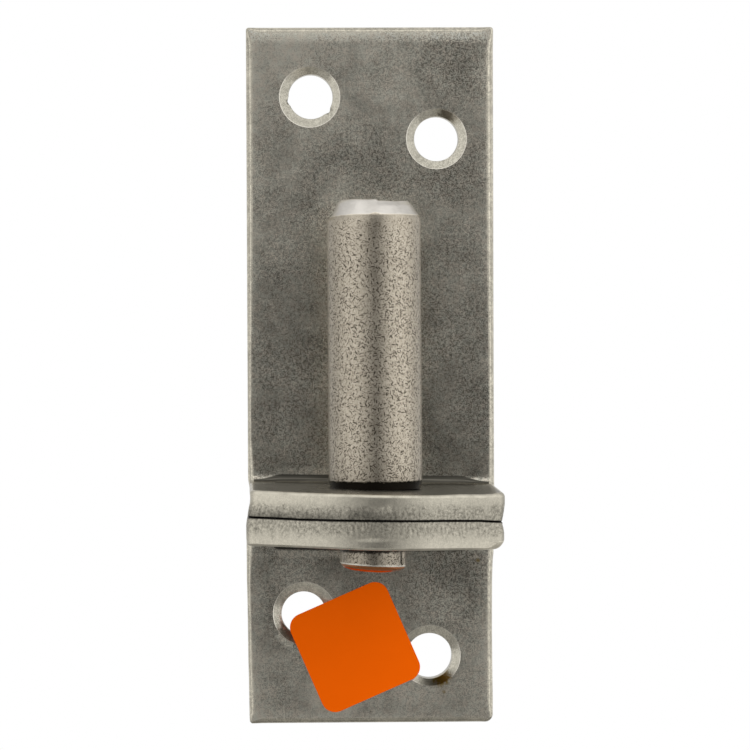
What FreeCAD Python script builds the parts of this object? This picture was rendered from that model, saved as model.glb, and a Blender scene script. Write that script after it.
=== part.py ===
import FreeCAD, Part
import math
import os

# Gate hinge pin on a plate. Two angle plates, each cut and bent from flat stainless bar,
# stand with their flanges back to back. The long leg goes up the post and the short leg
# goes down it. A shouldered round pin sits on the top flange, where it carries the eye of
# the gate hinge, and its thinner tail passes down through both flanges.
#
# The origin is on the pin's axis, at the top face of the upper flange, which the hinge's
# eye rests on. +Z runs up the pin, -Y points away from the post and +X is to the right.
# Lengths are in millimetres and angles in degrees.

# Sheet and legs
plate_width = 35.0
plate_thickness = 3.7
upper_leg_length = 68.4        # from the flanges' mating faces to the leg's free end
lower_leg_length = 30.35
bend_inner_radius = 1.2
leg_corner_radius = 0.85       # the free end's two corners, seen from the front
rolled_edge_radius = 0.7       # the edge that shearing draws down, on the front of a leg
burr_edge_chamfer = 0.2        # the opposite edge, on the back of a leg, with its burr taken off

# Flanges
pin_axis_to_leg = 15.0         # from the pin's axis to the front face of the legs
flange_reach = 19.7            # from the pin's axis to the flange's front
nose_radius = 20.0             # the round middle of the flange's front
nose_flank_angle = 22.0        # the straight flanks on both sides of it, which slope back to the sides
nose_corner_radius = 1.5       # where the flanks meet the flange's sides

# Countersunk screw holes, on the long leg as seen from the front
screw_hole_diameter = 6.3
countersink_diameter = 8.8
countersink_angle = 118.0      # the cone of a drill's point
end_hole_from_edge = 9.8       # the hole nearer the leg's free end
end_hole_offset = -8.4
inner_hole_from_edge = 15.7    # the hole nearer the flange
inner_hole_offset = 9.4

# Pin
pin_diameter = 13.0
pin_height = 40.0
pin_chamfer_height = 2.3
pin_chamfer_inset = 1.6
pin_chamfer_softening = 2.0    # radius that blends the ground chamfer into the pin
crop_step = 0.28               # the right half of the cropped end is this much lower
foot_bevel_height = 1.1        # the shoulder's lower edge is turned back, above the flange
foot_bevel_inset = 0.3
tail_diameter = 9.1
tail_clearance = 0.05          # between the tail and the flanges' holes, on the radius
tail_projection = 3.2          # below the lower flange, down to the rim of the dome
tail_dome_height = 1.0

# Sizes that follow from the ones above
half_width = plate_width / 2
leg_back = pin_axis_to_leg + plate_thickness
bend_outer_radius = bend_inner_radius + plate_thickness
pin_radius = pin_diameter / 2
tail_radius = tail_diameter / 2
mating_level = -plate_thickness
stack_bottom = -2 * plate_thickness

on_face = 0.01                 # how near an edge's middle lies to a face it is on


def vector(x, y, z):
    return FreeCAD.Vector(x, y, z)


def line(start, end):
    return Part.makeLine(start, end)


def arc(start, middle, end):
    return Part.Arc(start, middle, end).toShape()


def arc_middle(centre, radius, degrees, plane):
    """Point on a circle, in the plan (x, y) or in the side view (y, z)."""
    along = radius * math.cos(math.radians(degrees))
    across = radius * math.sin(math.radians(degrees))
    if plane == "plan":
        return centre + vector(along, across, 0)
    return centre + vector(0, along, across)


def bent_strip(leg_length):
    """The bent section, extruded across the plate; the mating face is at height 0."""
    front = -flange_reach - plate_thickness
    outer_centre = vector(-half_width, leg_back - bend_outer_radius, bend_outer_radius)
    inner_start = pin_axis_to_leg - bend_inner_radius

    def at(y, z):
        return vector(-half_width, y, z)

    section = Part.Wire([
        line(at(front, 0), at(outer_centre.y, 0)),
        arc(at(outer_centre.y, 0), arc_middle(outer_centre, bend_outer_radius, -45, "side"),
            at(leg_back, bend_outer_radius)),
        line(at(leg_back, bend_outer_radius), at(leg_back, leg_length)),
        line(at(leg_back, leg_length), at(pin_axis_to_leg, leg_length)),
        line(at(pin_axis_to_leg, leg_length), at(pin_axis_to_leg, bend_outer_radius)),
        arc(at(pin_axis_to_leg, bend_outer_radius),
            arc_middle(outer_centre, bend_inner_radius, -45, "side"),
            at(inner_start, plate_thickness)),
        line(at(inner_start, plate_thickness), at(front, plate_thickness)),
        line(at(front, plate_thickness), at(front, 0)),
    ])
    return Part.Face(section).extrude(vector(plate_width, 0, 0))


def plan_outline(leg_length):
    """The plate seen from above: straight sides, flanks and a round nose, extruded upwards."""
    nose_centre = vector(0, nose_radius - flange_reach, 0)
    flank_side = nose_flank_angle - 90
    slope = math.radians(nose_flank_angle)
    nose_end = arc_middle(nose_centre, nose_radius, flank_side, "plan")
    corner_x = half_width - nose_corner_radius
    from_centre = (nose_radius - nose_corner_radius - corner_x * math.sin(slope)) / math.cos(slope)
    corner = nose_centre + vector(corner_x, -from_centre, 0)
    flank_end = arc_middle(corner, nose_corner_radius, flank_side, "plan")
    blend = arc_middle(corner, nose_corner_radius, flank_side / 2, "plan")

    def left(point):
        return vector(-point.x, point.y, 0)

    side_end = vector(half_width, corner.y, 0)
    back = vector(half_width, leg_back, 0)
    outline = Part.Wire([
        line(back, side_end),
        arc(side_end, blend, flank_end),
        line(flank_end, nose_end),
        arc(nose_end, vector(0, -flange_reach, 0), left(nose_end)),
        line(left(nose_end), left(flank_end)),
        arc(left(flank_end), left(blend), left(side_end)),
        line(left(side_end), left(back)),
        line(left(back), back),
    ])
    return Part.Face(outline).extrude(vector(0, 0, leg_length))


def front_outline(leg_length):
    """The plate seen from the front, with its free end's corners rounded, as a prism."""
    depth = flange_reach + leg_back
    prism = Part.makeBox(plate_width, depth, leg_length, vector(-half_width, -flange_reach, 0))
    corners = [edge for edge in prism.Edges
               if abs(edge.CenterOfMass.z - leg_length) < on_face
               and abs(abs(edge.CenterOfMass.x) - half_width) < on_face]
    return prism.makeFillet(leg_corner_radius, corners)


def outline_edges(plate, leg_face, flange_face, bend_radius):
    """The edges all round one skin of the bent plate, without the bend's own two lines."""
    bend_y = leg_back - bend_outer_radius
    bend_z = bend_outer_radius
    chosen = []
    for edge in plate.Edges:
        middle = edge.valueAt((edge.FirstParameter + edge.LastParameter) / 2)
        if middle.z >= bend_z:
            off_skin = abs(middle.y - leg_face)
            on_bend_line = middle.z < bend_z + on_face
        elif middle.y <= bend_y:
            off_skin = abs(middle.z - flange_face)
            on_bend_line = middle.y > bend_y - on_face
        else:
            off_skin = abs(math.hypot(middle.y - bend_y, middle.z - bend_z) - bend_radius)
            on_bend_line = False
        if off_skin < on_face and not on_bend_line:
            chosen.append(edge)
    return chosen


def screw_hole(across, height):
    """Bore and countersink, from the front face of the leg to its back."""
    bore_radius = screw_hole_diameter / 2
    mouth_radius = countersink_diameter / 2
    sink_depth = (mouth_radius - bore_radius) / math.tan(math.radians(countersink_angle / 2))
    front = vector(across, pin_axis_to_leg, height)
    into_plate = vector(0, 1, 0)
    bore = Part.makeCylinder(bore_radius, plate_thickness, front, into_plate)
    sink = Part.makeCone(mouth_radius, bore_radius, sink_depth, front, into_plate)
    return bore.fuse(sink)


def angle_plate(leg_length):
    """One bent plate with its leg up and the face that meets the other plate at height 0."""
    plate = bent_strip(leg_length)
    plate = plate.common(plan_outline(leg_length)).common(front_outline(leg_length))
    plate = plate.Solids[0]
    rolled = outline_edges(plate, pin_axis_to_leg, plate_thickness, bend_inner_radius)
    plate = plate.makeFillet(rolled_edge_radius, rolled)
    burred = outline_edges(plate, leg_back, 0, bend_outer_radius)
    plate = plate.makeChamfer(burr_edge_chamfer, burred)

    tail_hole_radius = tail_radius + tail_clearance
    holes = [
        Part.makeCylinder(tail_hole_radius, plate_thickness),
        screw_hole(end_hole_offset, leg_length - end_hole_from_edge),
        screw_hole(inner_hole_offset, leg_length - inner_hole_from_edge),
    ]
    return plate.cut(holes).Solids[0]


def upper_plate():
    plate = angle_plate(upper_leg_length)
    plate.translate(vector(0, 0, mating_level))
    return plate


def lower_plate():
    """The same plate with a short leg, turned over so that the two flanges meet."""
    plate = angle_plate(lower_leg_length)
    plate.rotate(vector(0, 0, 0), vector(0, 1, 0), 180)
    plate.translate(vector(0, 0, mating_level))
    return plate


def hinge_pin():
    """The turned pin: domed tail, bevelled shoulder, body and chamfered, cropped end."""
    tail_rim = stack_bottom - tail_projection
    dome_bottom = tail_rim - tail_dome_height
    dome_radius = (tail_radius ** 2 + tail_dome_height ** 2) / (2 * tail_dome_height)
    half_slope = math.asin(tail_radius / dome_radius) / 2
    dome_middle = vector(dome_radius * math.sin(half_slope), 0,
                         dome_bottom + dome_radius * (1 - math.cos(half_slope)))
    foot_radius = pin_radius - foot_bevel_inset
    chamfer_start = pin_height - pin_chamfer_height
    top_radius = pin_radius - pin_chamfer_inset
    slope = math.atan2(pin_chamfer_inset, pin_chamfer_height)
    softened = pin_chamfer_softening * math.tan(slope / 2)
    soft_radius = pin_radius - pin_chamfer_softening
    soft_middle = vector(soft_radius + pin_chamfer_softening * math.cos(slope / 2), 0,
                         chamfer_start - softened + pin_chamfer_softening * math.sin(slope / 2))
    soft_end = vector(pin_radius - softened * math.sin(slope), 0,
                      chamfer_start + softened * math.cos(slope))

    def at(radius, z):
        return vector(radius, 0, z)

    half_section = Part.Wire([
        arc(at(0, dome_bottom), dome_middle, at(tail_radius, tail_rim)),
        line(at(tail_radius, tail_rim), at(tail_radius, 0)),
        line(at(tail_radius, 0), at(foot_radius, 0)),
        line(at(foot_radius, 0), at(pin_radius, foot_bevel_height)),
        line(at(pin_radius, foot_bevel_height), at(pin_radius, chamfer_start - softened)),
        arc(at(pin_radius, chamfer_start - softened), soft_middle, soft_end),
        line(soft_end, at(top_radius, pin_height)),
        line(at(top_radius, pin_height), at(0, pin_height)),
        line(at(0, pin_height), at(0, dome_bottom)),
    ])
    pin = Part.Face(half_section).revolve(vector(0, 0, 0), vector(0, 0, 1), 360)
    right_half = Part.makeBox(pin_radius, pin_diameter, crop_step,
                              vector(0, -pin_radius, pin_height - crop_step))
    return pin.cut(right_half).Solids[0]


os.makedirs("parts", exist_ok=True)
nodes = {
    "upper_plate": upper_plate(),
    "lower_plate": lower_plate(),
    "hinge_pin": hinge_pin(),
}
for name, shape in nodes.items():
    shape.exportStep(f"parts/{name}.step")
    print(name, "valid", shape.isValid(), "solids", len(shape.Solids), "volume", round(shape.Volume, 1))
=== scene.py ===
import math

import bpy
import numpy as np
from mathutils import Matrix, Vector, geometry, noise


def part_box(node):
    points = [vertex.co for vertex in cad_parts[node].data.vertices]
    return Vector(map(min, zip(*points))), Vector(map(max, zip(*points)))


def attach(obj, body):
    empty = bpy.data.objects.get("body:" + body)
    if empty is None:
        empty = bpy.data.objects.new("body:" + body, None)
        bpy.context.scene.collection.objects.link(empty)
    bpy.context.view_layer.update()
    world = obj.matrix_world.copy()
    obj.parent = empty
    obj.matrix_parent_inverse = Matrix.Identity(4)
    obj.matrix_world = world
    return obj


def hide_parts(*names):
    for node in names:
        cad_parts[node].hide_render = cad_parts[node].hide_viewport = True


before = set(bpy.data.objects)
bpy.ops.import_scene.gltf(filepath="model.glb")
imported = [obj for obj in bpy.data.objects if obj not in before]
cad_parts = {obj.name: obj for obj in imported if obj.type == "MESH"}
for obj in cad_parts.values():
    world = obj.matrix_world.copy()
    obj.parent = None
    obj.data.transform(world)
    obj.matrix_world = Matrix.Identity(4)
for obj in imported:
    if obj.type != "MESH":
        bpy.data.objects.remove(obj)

scene = bpy.context.scene
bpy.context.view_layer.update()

# Camera. It stands level with the middle of the pin, a little to the left, and far off with
# a long lens, so the plates show flat and the flanges a little from above.
MM = 0.001                                            # sizes in this script are in millimetres
view_target = Vector((0.585, 15.0, 15.4))
view_distance = 635.3
view_azimuth = math.radians(-1.7)
view_elevation = math.radians(1.176)
view_roll = math.radians(0.246)
focal_length = 214.85
sensor_width = 36.0


def new_object(name, data):
    """An object with its data, in the scene."""
    made = bpy.data.objects.new(name, data)
    scene.collection.objects.link(made)
    return made


towards_camera = Vector((math.sin(view_azimuth) * math.cos(view_elevation),
                         -math.cos(view_azimuth) * math.cos(view_elevation),
                         math.sin(view_elevation)))
level_right = Vector((math.cos(view_azimuth), math.sin(view_azimuth), 0.0))
level_up = towards_camera.cross(level_right)
camera_right = level_right * math.cos(view_roll) - level_up * math.sin(view_roll)
camera_up = level_up * math.cos(view_roll) + level_right * math.sin(view_roll)
camera = new_object("camera", bpy.data.cameras.new("camera"))
camera.data.lens = focal_length
camera.data.sensor_width = sensor_width
camera.data.clip_start = 0.01
camera.data.clip_end = 20.0
camera.matrix_world = (Matrix.Translation((view_target + towards_camera * view_distance) * MM)
                       @ Matrix((camera_right, camera_up, towards_camera)).transposed().to_4x4())
scene.camera = camera
scene.view_settings.view_transform = "Standard"


# Studio. A white tent all round, with the darker room behind the camera showing through its
# open side. The steel mirrors that opening in every face that looks straight at the camera.
tent_level = 1.22
opening_direction = (0.03, -0.9983, -0.05)
opening_steps = [(0.0, 0.02), (0.03, 0.06), (0.08, 0.34), (0.14, 0.60), (0.25, 0.93), (0.36, 1.0), (0.5, 0.86),
                 (0.62, 0.60)]
right_gain = 0.09                                     # the right side of the tent is a little brighter
diffuse_level = 1.6                                   # the light on matt surfaces, from all sides alike
tent_white = (1.0, 0.985, 0.955)
floor_level = -95.0
floor_half_size = 190.0
floor_colour = (0.25, 0.247, 0.24, 1.0)


def add(tree, kind, inputs=None, **settings):
    """A node with its settings; each input is a value or the output that feeds it."""
    node = tree.nodes.new(kind)
    for name, value in settings.items():
        setattr(node, name, value)
    for name, value in (inputs or {}).items():
        if isinstance(value, bpy.types.NodeSocket):
            tree.links.new(value, node.inputs[name])
        else:
            node.inputs[name].default_value = value
    return node


def calculate(tree, operation, first, second=0.0, third=0.0, clamp=False):
    """The output of a Math node."""
    return add(tree, "ShaderNodeMath", {0: first, 1: second, 2: third}, operation=operation,
               use_clamp=clamp).outputs[0]


def times(tree, first, *others):
    """The product of two or more values."""
    for other in others:
        first = calculate(tree, "MULTIPLY", first, other)
    return first


def times_plus(tree, value, factor, addend):
    """A value times a factor, plus an addend."""
    return calculate(tree, "MULTIPLY_ADD", value, factor, addend)


def vector_step(tree, operation, first, second=(0.0, 0.0, 0.0)):
    """The output of a Vector Math node: a value for a length or a dot product, else a vector."""
    node = add(tree, "ShaderNodeVectorMath", {0: first, 1: second}, operation=operation)
    return node.outputs["Value" if operation in ("DISTANCE", "DOT_PRODUCT", "LENGTH") else "Vector"]


def mix_value(tree, share, first, second):
    """A value between two others."""
    return add(tree, "ShaderNodeMix", {0: share, 2: first, 3: second}).outputs[0]


def mix_colour(tree, share, first, second):
    """A colour between two others."""
    return add(tree, "ShaderNodeMix", {0: share, 6: first, 7: second}, data_type="RGBA").outputs[2]


def ramp(tree, value, steps):
    """A value turned into another by straight pieces between (position, result) steps."""
    node = add(tree, "ShaderNodeValToRGB", {"Fac": value})
    points = node.color_ramp.elements
    while len(points) < len(steps):
        points.new(0.5)
    for point, (position, result) in zip(points, steps):
        point.position = position
        point.color = (result, result, result, 1.0)
    return node.outputs["Color"]


studio = bpy.data.worlds.new("studio")
studio.use_nodes = True
studio.cycles.sampling_method = "NONE"                # so that Is Diffuse Ray holds for all its light
studio.node_tree.nodes.clear()
tent = studio.node_tree
direction = add(tent, "ShaderNodeTexCoord").outputs["Generated"]
facing = vector_step(tent, "DOT_PRODUCT", direction, opening_direction)
turn = calculate(tent, "DIVIDE", calculate(tent, "ARCCOSINE", facing), math.pi)
brightness = ramp(tent, turn, opening_steps)
tent_colour = vector_step(tent, "MULTIPLY", brightness, tent_white)
rightward = add(tent, "ShaderNodeSeparateXYZ", {0: direction}).outputs["X"]
mirrored_level = times_plus(tent, rightward, right_gain * tent_level, tent_level)
seen = add(tent, "ShaderNodeLightPath")
level = mix_value(tent, seen.outputs["Is Diffuse Ray"], mirrored_level, diffuse_level)
tent_colour = mix_colour(tent, seen.outputs["Is Diffuse Ray"], tent_colour, (*tent_white, 1))
tent_light = add(tent, "ShaderNodeBackground", {"Color": tent_colour, "Strength": level})
plain_white = add(tent, "ShaderNodeBackground", {"Color": (1, 1, 1, 1), "Strength": 1.0})
shown_white = calculate(tent, "MAXIMUM", seen.outputs["Is Camera Ray"], seen.outputs["Is Transmission Ray"])
both = add(tent, "ShaderNodeMixShader", {0: shown_white, 1: tent_light.outputs[0], 2: plain_white.outputs[0]})
add(tent, "ShaderNodeOutputWorld", {"Surface": both.outputs[0]})
scene.world = studio

floor_mesh = bpy.data.meshes.new("floor")
floor_corners = [(-1, -1), (1, -1), (1, 1), (-1, 1)]
floor_mesh.from_pydata([(x * floor_half_size * MM, y * floor_half_size * MM, floor_level * MM)
                        for x, y in floor_corners], [], [(0, 1, 2, 3)])
floor = new_object("floor", floor_mesh)
floor_finish = bpy.data.materials.new("floor_paper")
floor_finish.use_nodes = True
floor_finish.node_tree.nodes.clear()
paper = floor_finish.node_tree
seen = add(paper, "ShaderNodeLightPath")
matt = add(paper, "ShaderNodeBsdfDiffuse", {"Color": floor_colour})
bright = add(paper, "ShaderNodeEmission", {"Color": (1, 1, 1, 1), "Strength": 1.0})
shown_white = calculate(paper, "MAXIMUM", seen.outputs["Is Camera Ray"], seen.outputs["Is Transmission Ray"])
both = add(paper, "ShaderNodeMixShader", {0: shown_white, 1: matt.outputs[0], 2: bright.outputs[0]})
from_below = add(paper, "ShaderNodeNewGeometry").outputs["Backfacing"]
clear = add(paper, "ShaderNodeBsdfTransparent")
one_sided = add(paper, "ShaderNodeMixShader", {0: from_below, 1: both.outputs[0], 2: clear.outputs[0]})
add(paper, "ShaderNodeOutputMaterial", {"Surface": one_sided.outputs[0]})
floor_mesh.materials.append(floor_finish)


# Plates. Two pieces of 3.7 mm stainless flat bar, sheared to length, punched for the screws
# and bent once each, then tumbled. The upper leg goes up the post and the lower one down it,
# and their round-nosed flanges lie back to back under the pin.
upper_low, upper_high = (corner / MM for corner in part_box("upper_plate"))
lower_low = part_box("lower_plate")[0] / MM
half_width = upper_high.x
thickness = -upper_low.z
mating_level = upper_low.z
leg_back = upper_high.y
leg_front = leg_back - thickness
flange_reach = -upper_low.y
bend_inner_radius = 1.2
bend_outer_radius = bend_inner_radius + thickness
bend_start = leg_back - bend_outer_radius             # how far back the flange is flat
bend_run = (bend_inner_radius + thickness / 2) * math.pi / 2
nose_radius = 20.0
nose_flank_angle = 22.0                               # the flanks slope back to the sides
nose_corner_radius = 1.5
burr_break = 0.14
fracture_depth = 0.42                                 # share of the edge that was cut clean
fracture_relief = 0.035
tail_hole_radius = 4.6
hole_points = 88
countersink_slope = math.radians(59)                  # between the cone and the hole's axis
back_mouth_break = 0.06
# Across, down from the leg's end, the bore's and the mouth's radius, and how far the mouth is off
# the bore, across and towards the leg's end.
screw_holes = {
    "upper_plate_steel": [(-8.35, 9.8, 3.15, 4.34, -0.16, -0.05), (9.45, 15.83, 3.15, 4.32, 0.0, 0.0)],
    "lower_plate_steel": [(-8.46, 9.43, 3.24, 4.34, -0.1, -0.11), (9.38, 15.53, 3.15, 4.49, -0.085, -0.085)],
}
# Small breakouts of the bore, by plate and hole: angle and depth, and how wide each is in degrees.
hole_chips = {("upper_plate_steel", 0): [(192, 0.22), (321, 0.3)]}
chip_half_width = 12
leg_corners = {"upper_plate_steel": (0.45, 0.4), "lower_plate_steel": (0.45, 1.15)}
fine_spacing = 0.16
rim_spacing = 0.36
skin_spacing = 0.75
flange_skew = math.tan(math.radians(0.9))             # the flanges slope down to the right
flange_skew_fade = 9.0                                # up the leg
lower_plate_shift = -0.29
side_roll_start = 15.1                                # across, where a flange's front turns into its side

# How far the sides stand in, left and right, each as (distance from the mating plane, inset) on
# the flange and behind it; then how far the rolled face rises, and the line between the flanges.
side_insets = {
    "upper_plate_steel": (
        ([(0.2, -0.14), (0.75, -0.05), (1.3, 0.07), (1.8, 0.19), (2.4, 0.27), (3.5, 0.20)],
         [(0.0, 0.13), (0.7, 0.26), (1.3, 0.33), (2.5, 0.27), (3.0, 0.2), (3.7, 0.07), (4.2, 0.0)]),
        ([(0.13, 0.54), (0.67, 0.41), (1.2, 0.31), (1.74, 0.23), (2.28, 0.18), (3.7, 0.18)],
         [(0.0, 0.0), (20.0, 0.0), (45.0, -0.05), (68.0, -0.07)])),
    "lower_plate_steel": (
        ([(-1.34, 0.42), (-0.6, 0.26), (-0.04, 0.17), (0.3, 0.08), (0.6, 0.03), (1.2, -0.02),
          (2.8, -0.01), (3.5, 0.04)],
         [(0.0, 0.42), (0.74, 0.26), (1.3, 0.17), (1.9, 0.09), (2.5, 0.03), (3.7, 0.02), (6.0, 0.045),
          (10.0, 0.06), (12.8, 0.125), (18.5, 0.19), (21.3, 0.21), (24.1, 0.275), (29.3, 0.345), (30.3, 0.4)]),
        ([(0.38, 0.19), (0.91, 0.04), (1.45, -0.04), (2.5, 0.0), (3.06, 0.15), (3.7, 0.25)],
         [(3.7, -0.15), (6.0, -0.18), (6.7, -0.08), (7.7, -0.03), (10.0, 0.05), (12.7, 0.07),
          (17.7, 0.09), (21.7, 0.06), (24.7, 0.03), (27.2, 0.0), (30.3, 0.06)])),
}
face_lines = {
    "upper_plate_steel": [(-17.0, 0.2), (-13.7, 0.16), (-10.5, 0.1), (-4.0, 0.08), (0.0, 0.02), (7.8, -0.03),
                          (11.0, 0.06), (14.3, 0.0), (15.6, 0.08), (16.3, 0.22), (17.3, 0.3)],
    "lower_plate_steel": [(-17.0, 0.07), (-10.0, 0.05), (0.0, -0.11), (10.0, -0.12), (16.0, -0.12)],
}
mating_line = [(-17.3, 0.26), (-13.7, 0.21), (-10.5, 0.14), (0.0, 0.19), (9.0, 0.2), (14.0, 0.14), (17.3, -0.05)]


def blend(value, start, end):
    """From 0 at start to 1 at end, smoothly."""
    share = np.clip((np.asarray(value, float) - start) / (end - start), 0.0, 1.0)
    return share * share * (3 - 2 * share)


def run(start, end, spacing):
    """Points from start towards end, without the end itself."""
    count = max(2, math.ceil(math.dist(start, end) / spacing))
    share = np.arange(count)[:, None] / count
    return np.array(start) + share * (np.array(end) - np.array(start))


def sweep(centre, radius, first, last, spacing):
    """Points on an arc from the first angle towards the last, in degrees, and their directions."""
    count = max(6, math.ceil(abs(math.radians(last - first)) * radius / spacing))
    angles = np.radians(first + (last - first) * np.arange(count) / count)
    outward = np.stack([np.cos(angles), np.sin(angles)], axis=1)
    return np.array(centre) + radius * outward, outward


def sheet_rim(leg_end, corner_radii):
    """Counter-clockwise outline of the flat sheet: points (across, along) and outward directions."""
    nose_centre = (0.0, nose_radius - flange_reach - bend_start)
    slope = math.radians(nose_flank_angle)
    corner_turn = 90 - nose_flank_angle
    corner_across = half_width - nose_corner_radius
    from_centre = (nose_radius - nose_corner_radius - corner_across * math.sin(slope)) / math.cos(slope)
    corner_along = nose_centre[1] - from_centre
    flank_out = np.array([math.sin(slope), -math.cos(slope)])
    flank_start = np.array(nose_centre) + nose_radius * flank_out
    flank_end = np.array([corner_across, corner_along]) + nose_corner_radius * flank_out
    mirrored = np.array([-1.0, 1.0])
    end_across = [half_width - radius for radius in corner_radii]
    end_along = [leg_end - radius for radius in corner_radii]
    sides = []

    def straight(start, end, outward, spacing=rim_spacing):
        points = run(start, end, spacing)
        sides.append((points, np.tile(outward, (len(points), 1))))

    straight((half_width, corner_along), (half_width, end_along[0]), (1.0, 0.0))
    sides.append(sweep((end_across[0], end_along[0]), corner_radii[0], 0, 90, fine_spacing))
    straight((end_across[0], leg_end), (-end_across[1], leg_end), (0.0, 1.0))
    sides.append(sweep((-end_across[1], end_along[1]), corner_radii[1], 90, 180, fine_spacing))
    straight((-half_width, end_along[1]), (-half_width, corner_along), (-1.0, 0.0))
    sides.append(sweep((-corner_across, corner_along), nose_corner_radius, 180, 180 + corner_turn,
                       fine_spacing))
    straight(flank_end * mirrored, flank_start * mirrored, flank_out * mirrored, fine_spacing)
    sides.append(sweep(nose_centre, nose_radius, 180 + corner_turn, 360 - corner_turn, fine_spacing))
    straight(flank_start, flank_end, flank_out, fine_spacing)
    sides.append(sweep((corner_across, corner_along), nose_corner_radius, -corner_turn, 0, fine_spacing))
    return np.concatenate([points for points, _ in sides]), np.concatenate([outward for _, outward in sides])


def rolled_edge(rim, outward, leg_end, facing, nose_roll, end_roll):
    """How far the shears drew the front edge down, at each point of the rim."""
    across, along = rim[:, 0] * facing, rim[:, 1]
    on_leg = blend(along, bend_run, bend_run + 6)
    on_flange = 1 - blend(along, -4, 0)
    in_bend = 1 - on_leg - on_flange
    near_end = blend(along, leg_end - 4, leg_end - 1.2)
    right = across > 0
    low_roll = np.where(right, 0.8, 0.55)
    high_roll = np.where(right, 1.1, 0.95)
    side_leg = low_roll + (high_roll - low_roll) * blend(along, 12, 45)
    side_leg = side_leg * (1 - near_end) + np.minimum(side_leg, 0.8) * near_end
    side_roll = side_leg * on_leg + 0.85 * in_bend + np.where(right, end_roll, nose_roll) * on_flange
    flange_side = blend(np.abs(across), side_roll_start, side_roll_start + 2.0)
    leg_side = blend(np.abs(outward[:, 0]), 0.88, 1.0)
    at_side = np.where(on_flange > 0.5, flange_side, leg_side)
    roll = side_roll * at_side + np.where(on_flange > 0.5, nose_roll, 0.8) * (1 - at_side)
    from_corner = np.hypot(half_width - np.abs(across), leg_end - along)
    return np.minimum(roll, 0.22 + 0.3 * from_corner)


def bend_sheet(across, along, depth):
    """From the flat sheet to the bent plate, its leg up and its mating face at height 0."""
    angle = np.clip(along / bend_run, 0, 1) * math.pi / 2
    radius = bend_inner_radius + depth
    y = bend_start + np.minimum(along, 0) + radius * np.sin(angle)
    z = bend_outer_radius - radius * np.cos(angle) + np.maximum(along - bend_run, 0)
    return np.stack([across, y, z], axis=-1)


def ring(centre, radius):
    """Counter-clockwise circle of points, and their angles."""
    angles = np.arange(hole_points) * 2 * math.pi / hole_points
    circle = np.stack([np.cos(angles), np.sin(angles)], axis=1)
    return np.array(centre) + np.reshape(radius, (-1, 1)) * circle, angles


def fill(loops, openings, spacing, rows_in_bend):
    """Triangles inside the first loop and outside the openings' loops: all points, then faces."""
    boundary = np.concatenate(loops)
    edges = []
    first = 0
    for loop in loops:
        count = len(loop)
        edges += [(first + i, first + (i + 1) % count) for i in range(count)]
        first += count
    low, high = loops[0].min(0), loops[0].max(0)
    levels = list(np.arange(low[1] + spacing / 2, 0, spacing))
    levels += list(np.linspace(0, bend_run, rows_in_bend))
    levels += list(np.arange(bend_run + spacing / 2, high[1], spacing))
    grid = []
    for row, level in enumerate(levels):
        shift = spacing / 2 * (row % 2)
        columns = np.arange(low[0] + shift, high[0], spacing)
        grid.append(np.stack([columns, np.full(len(columns), level)], axis=1))
    grid = np.concatenate(grid)
    clearance = np.full(len(grid), np.inf)
    for part in np.array_split(boundary, 12):
        apart = np.linalg.norm(grid[:, None, :] - part[None, :, :], axis=2).min(1)
        clearance = np.minimum(clearance, apart)
    grid = grid[clearance > spacing * 0.45]
    points = np.concatenate([boundary, grid])
    made = geometry.delaunay_2d_cdt([Vector(p) for p in points], edges, [], 1, 1e-5)
    kept = [source[0] for source in made[3]]
    faces = [tuple(kept[corner] for corner in face) for face in made[2]]
    middles = points[np.array(faces)].mean(axis=1)
    solid = np.ones(len(faces), bool)
    for centre, radius in openings:
        solid &= np.linalg.norm(middles - np.array(centre), axis=1) > radius
    return points, [face for face, kept_face in zip(faces, solid) if kept_face]


def make_mesh(name, points, faces, values, map_name, face_maps, crease):
    """A mesh that is smooth up to an angle, with values at its points and a map of its faces."""
    mesh = bpy.data.meshes.new(name)
    mesh.from_pydata((points * MM).tolist(), [], faces)
    for title, numbers in values.items():
        mesh.attributes.new(title, "FLOAT", "POINT").data.foreach_set("value", numbers.astype(np.float32))
    face_map = mesh.uv_layers.new(name=map_name)
    face_map.data.foreach_set("uv", np.array([p for face in face_maps for p in face], np.float32).ravel())
    mesh.shade_smooth()
    mesh.set_sharp_from_angle(angle=math.radians(crease))
    mesh.validate()
    return mesh


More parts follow.
